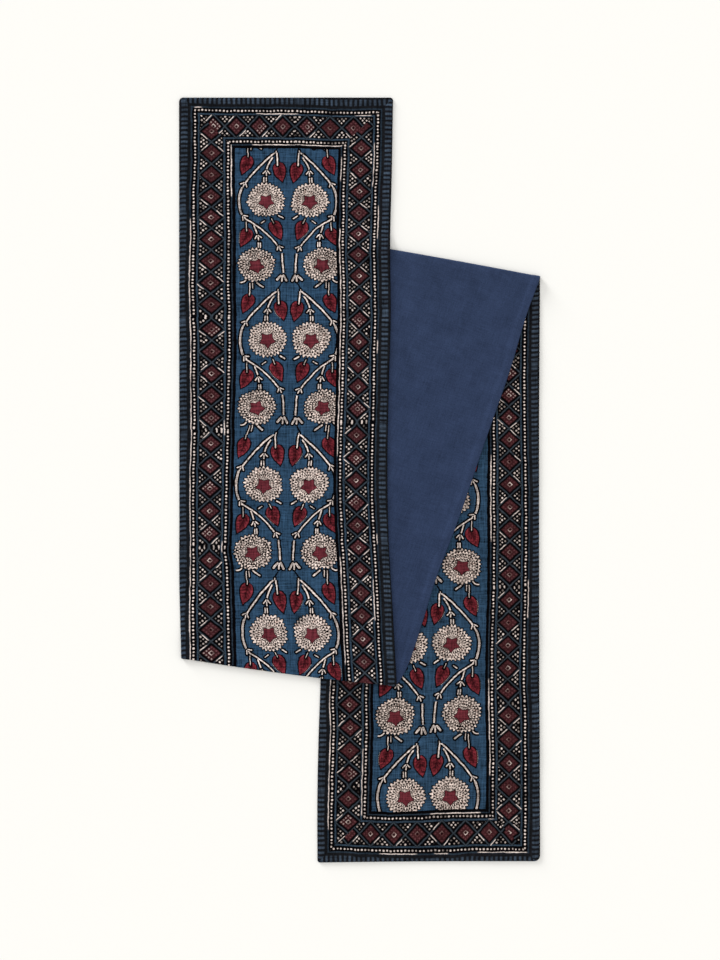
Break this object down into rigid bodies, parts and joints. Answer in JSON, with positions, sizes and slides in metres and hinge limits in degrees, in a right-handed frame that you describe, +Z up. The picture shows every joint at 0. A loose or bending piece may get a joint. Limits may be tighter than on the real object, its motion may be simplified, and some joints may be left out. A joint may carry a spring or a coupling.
{
  "type": "block-printed table runner",
  "caption": "Long cotton table runner with vines and dotted borders, backed in plain cotton, folded in a slanted zigzag.",
  "frame": {"origin": "on the table, under the middle of the folded runner's outline", "axes": "+X across the runner, +Y along the laps towards the upper end, +Z up from the table"},
  "size_m": [0.549, 1.1625, 0.0099],
  "materials": {
    "printed_cotton": "block-printed plain-weave cotton, matt",
    "navy_cotton": "plain-weave cotton dyed navy, matt"
  },
  "bodies": {
    "root": {"printed_face": "printed_cotton", "plain_backing": "navy_cotton"}
  },
  "joints": []
}
